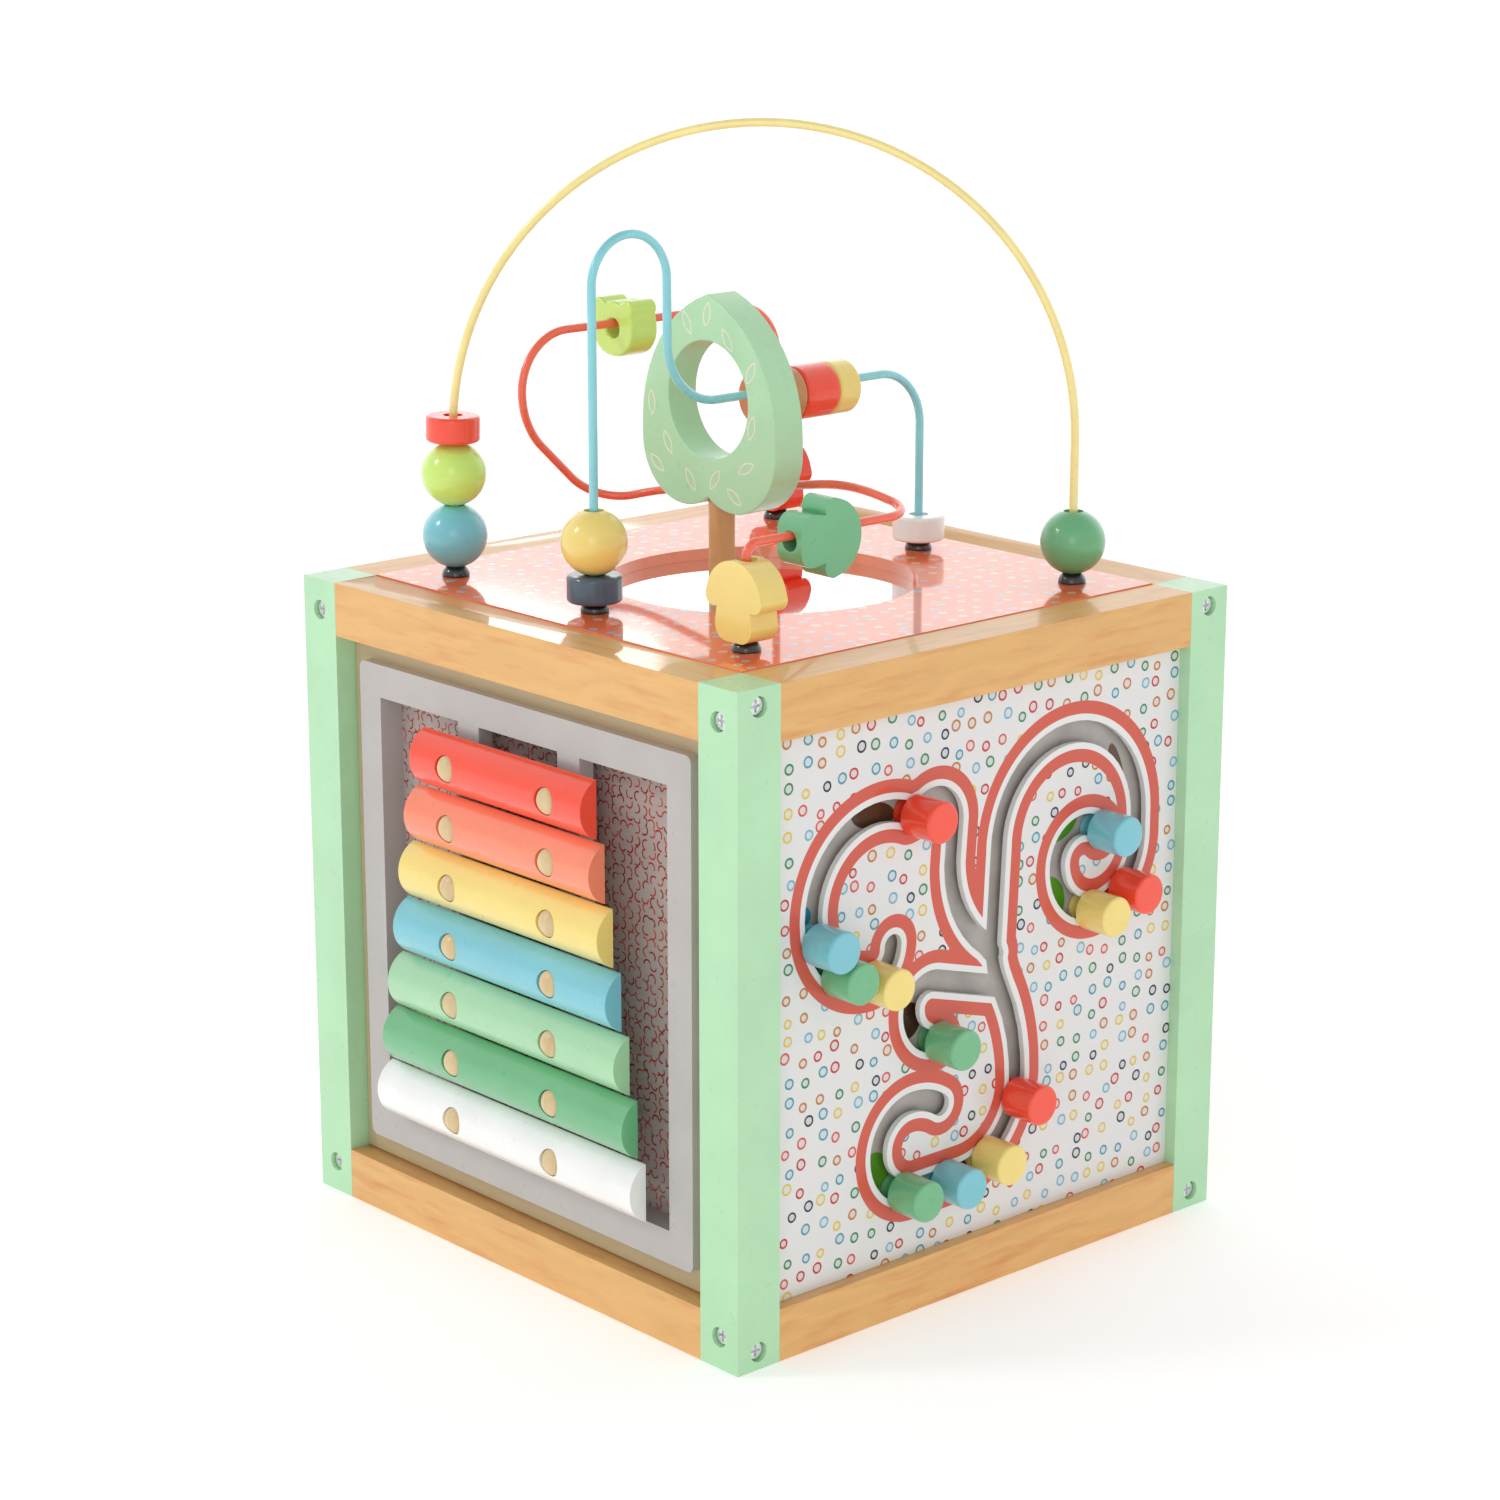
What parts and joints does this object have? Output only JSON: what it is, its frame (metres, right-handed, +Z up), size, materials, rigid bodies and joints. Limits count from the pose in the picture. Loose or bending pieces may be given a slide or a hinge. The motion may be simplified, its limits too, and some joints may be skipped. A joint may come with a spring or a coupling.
{
  "type": "activity cube",
  "caption": "Wooden activity cube on corner posts: a xylophone front, a groove maze side, and a mirrored top with bent bead wires and a small tree.",
  "frame": {"origin": "middle of the cube's base, on the surface it stands on", "axes": "+Z up, -Y is the front with the xylophone, +X is the right side with the maze"},
  "size_m": [0.312, 0.3108, 0.51],
  "materials": {
    "pine": "clear satin varnish over planed pine",
    "plywood": "satin varnish over birch plywood",
    "natural_wood": "turned beech, lightly oiled",
    "mint_paint": "satin water-based paint on wood",
    "grey_paint": "satin paint on board",
    "red_paint": "satin paint on wood",
    "coral_paint": "satin paint on wood",
    "yellow_paint": "satin paint on wood",
    "blue_paint": "satin paint on wood",
    "green_paint": "satin paint on wood",
    "lime_paint": "satin paint on wood",
    "navy_paint": "satin paint on wood",
    "white_paint": "satin paint on wood",
    "coral_print": "printed plywood under gloss lacquer",
    "ring_print": "plywood printed with small rings, matt",
    "arc_print": "plywood printed with small arcs, matt",
    "maze_floor_paint": "grey stained plywood",
    "mirror": "acrylic safety mirror",
    "steel": "zinc-plated steel",
    "cap_black": "black moulded plastic",
    "felt": "pressed wool felt",
    "wire_yellow": "powder-coated steel wire",
    "wire_blue": "powder-coated steel wire",
    "wire_red": "powder-coated steel wire"
  },
  "bodies": {
    "cube": {"corner_posts": "mint_paint", "top_rails": "pine", "bottom_rails": "pine", "assembly_screws": "steel", "base_panel": "plywood", "left_panel": "ring_print", "rear_panel": "arc_print", "top_support_board": "plywood", "mirror_disc": "mirror", "top_panel": "coral_print", "wire_caps": "cap_black", "wire_nuts": "steel", "arch_wire": "wire_yellow", "loop_wire": "wire_blue", "winding_wire": "wire_red", "tree_trunk": "natural_wood", "tree_crown": "mint_paint", "xylophone_surround": "plywood", "xylophone_frame": "grey_paint", "xylophone_back": "arc_print", "felt_washers": "felt", "bar_pegs": "natural_wood", "bar_red": "red_paint", "bar_coral": "coral_paint", "bar_yellow": "yellow_paint", "bar_blue": "blue_paint", "bar_mint": "mint_paint", "bar_green": "green_paint", "bar_white": "white_paint", "maze_floor": "maze_floor_paint", "maze_board": "ring_print"},
    "ball_blue": {"ball_blue": "blue_paint"},
    "ball_lime": {"ball_lime": "lime_paint"},
    "drum_red_arch": {"drum_red_arch": "red_paint"},
    "ball_green": {"ball_green": "green_paint"},
    "drum_navy": {"drum_navy": "navy_paint"},
    "ball_yellow": {"ball_yellow": "yellow_paint"},
    "drum_coral": {"drum_coral": "coral_paint"},
    "drum_wood": {"drum_wood": "natural_wood"},
    "drum_red": {"drum_red": "red_paint"},
    "drum_yellow": {"drum_yellow": "yellow_paint"},
    "drum_white": {"drum_white": "white_paint"},
    "mushroom_yellow": {"mushroom_yellow": "yellow_paint"},
    "mushroom_green": {"mushroom_green": "green_paint"},
    "tulip_lime": {"tulip_lime": "lime_paint"},
    "mushroom_red": {"mushroom_red": "red_paint"},
    "knob_red_crest": {"knob_red_crest": "red_paint"},
    "knob_blue_left": {"knob_blue_left": "blue_paint"},
    "knob_green_left": {"knob_green_left": "green_paint"},
    "knob_yellow_hook": {"knob_yellow_hook": "yellow_paint"},
    "knob_green_middle": {"knob_green_middle": "green_paint"},
    "knob_red_low": {"knob_red_low": "red_paint"},
    "knob_yellow_low": {"knob_yellow_low": "yellow_paint"},
    "knob_blue_low": {"knob_blue_low": "blue_paint"},
    "knob_green_low": {"knob_green_low": "green_paint"},
    "knob_blue_spiral": {"knob_blue_spiral": "blue_paint"},
    "knob_red_spiral": {"knob_red_spiral": "red_paint"},
    "knob_yellow_spiral": {"knob_yellow_spiral": "yellow_paint"}
  },
  "joints": [
    {"name": "knob_red_crest_travel", "type": "hinge", "parent": "cube", "child": "knob_red_crest", "pos_m": [0.147, -0.0615, 0.1915], "axis": [1, 0, 0], "range_deg": [0, 83]},
    {"name": "knob_blue_left_travel", "type": "hinge", "parent": "cube", "child": "knob_blue_left", "pos_m": [0.147, -0.0675, 0.1915], "axis": [1, 0, 0], "range_deg": [-17.7, 0]},
    {"name": "knob_green_left_travel", "type": "hinge", "parent": "cube", "child": "knob_green_left", "pos_m": [0.147, -0.0675, 0.1915], "axis": [1, 0, 0], "range_deg": [-0.9, 5.4]},
    {"name": "knob_yellow_hook_travel", "type": "hinge", "parent": "cube", "child": "knob_yellow_hook", "pos_m": [0.147, -0.0675, 0.1705], "axis": [1, 0, 0], "range_deg": [0, 88]},
    {"name": "knob_green_middle_travel", "type": "hinge", "parent": "cube", "child": "knob_green_middle", "pos_m": [0.147, -0.0265, 0.137], "axis": [1, 0, 0], "range_deg": [-88, 0]},
    {"name": "knob_red_low_travel", "type": "hinge", "parent": "cube", "child": "knob_red_low", "pos_m": [0.147, -0.014, 0.0925], "axis": [1, 0, 0], "range_deg": [-17.3, 15]},
    {"name": "knob_yellow_low_travel", "type": "hinge", "parent": "cube", "child": "knob_yellow_low", "pos_m": [0.147, -0.014, 0.0925], "axis": [1, 0, 0], "range_deg": [-8.3, 0]},
    {"name": "knob_blue_low_travel", "type": "slide", "parent": "cube", "child": "knob_blue_low", "axis": [0, 1, 0], "range_m": [-0.007, 0]},
    {"name": "knob_green_low_travel", "type": "hinge", "parent": "cube", "child": "knob_green_low", "pos_m": [0.147, -0.0415, 0.075], "axis": [1, 0, 0], "range_deg": [-148, 0]},
    {"name": "knob_blue_spiral_travel", "type": "hinge", "parent": "cube", "child": "knob_blue_spiral", "pos_m": [0.147, 0.0642, 0.1849], "axis": [1, 0, 0], "range_deg": [0, 130]},
    {"name": "knob_red_spiral_travel", "type": "hinge", "parent": "cube", "child": "knob_red_spiral", "pos_m": [0.147, 0.0716, 0.19], "axis": [1, 0, 0], "range_deg": [0, 50.9]},
    {"name": "knob_yellow_spiral_travel", "type": "hinge", "parent": "cube", "child": "knob_yellow_spiral", "pos_m": [0.147, 0.0716, 0.1849], "axis": [1, 0, 0], "range_deg": [-32.5, 7.5]},
    {"name": "drum_red_arch_travel", "type": "hinge", "parent": "cube", "child": "drum_red_arch", "pos_m": [0, 0, 0.3666], "axis": [-0.7071, 0.7071, 0], "range_deg": [0, 155]},
    {"name": "ball_lime_lift", "type": "slide", "parent": "cube", "child": "ball_lime", "axis": [0, 0, 1], "range_m": [0, 0.02201]},
    {"name": "ball_blue_lift", "type": "slide", "parent": "cube", "child": "ball_blue", "axis": [0, 0, 1], "range_m": [0, 0.02201]},
    {"name": "ball_green_lift", "type": "slide", "parent": "cube", "child": "ball_green", "axis": [0, 0, 1], "range_m": [0, 0.05]},
    {"name": "drum_navy_lift", "type": "slide", "parent": "cube", "child": "drum_navy", "axis": [0, 0, 1], "range_m": [0, 0.045]},
    {"name": "ball_yellow_lift", "type": "slide", "parent": "drum_navy", "child": "ball_yellow", "axis": [0, 0, 1], "range_m": [0, 0.045]},
    {"name": "drum_white_lift", "type": "slide", "parent": "cube", "child": "drum_white", "axis": [0, 0, 1], "range_m": [0, 0.038]},
    {"name": "mushroom_red_lift", "type": "slide", "parent": "cube", "child": "mushroom_red", "axis": [0, 0, 1], "range_m": [0, 0.038]},
    {"name": "mushroom_yellow_spin", "type": "hinge", "parent": "cube", "child": "mushroom_yellow", "pos_m": [0.1, -0.1, 0.325], "axis": [0, 0, 1], "continuous": true},
    {"name": "mushroom_green_slide", "type": "slide", "parent": "cube", "child": "mushroom_green", "axis": [0, 1, 0], "range_m": [-0.004, 0.022]},
    {"name": "tulip_lime_slide", "type": "slide", "parent": "cube", "child": "tulip_lime", "axis": [0, 1, 0], "range_m": [-0.027, 0.06]},
    {"name": "drum_coral_slide", "type": "slide", "parent": "cube", "child": "drum_coral", "axis": [0, 1, 0], "range_m": [-0.022, 0.0055]},
    {"name": "drum_wood_slide", "type": "slide", "parent": "drum_coral", "child": "drum_wood", "axis": [0, 1, 0], "range_m": [0, 0.0055]},
    {"name": "drum_red_slide", "type": "slide", "parent": "drum_wood", "child": "drum_red", "axis": [0, 1, 0], "range_m": [0, 0.0055]},
    {"name": "drum_yellow_slide", "type": "slide", "parent": "drum_red", "child": "drum_yellow", "axis": [0, 1, 0], "range_m": [0, 0.0055]}
  ],
  "couplings": [
    {"joint": "ball_lime_lift", "follows": "drum_red_arch_travel", "m_per_rad": 0.008132},
    {"joint": "ball_blue_lift", "follows": "drum_red_arch_travel", "m_per_rad": 0.008132}
  ]
}
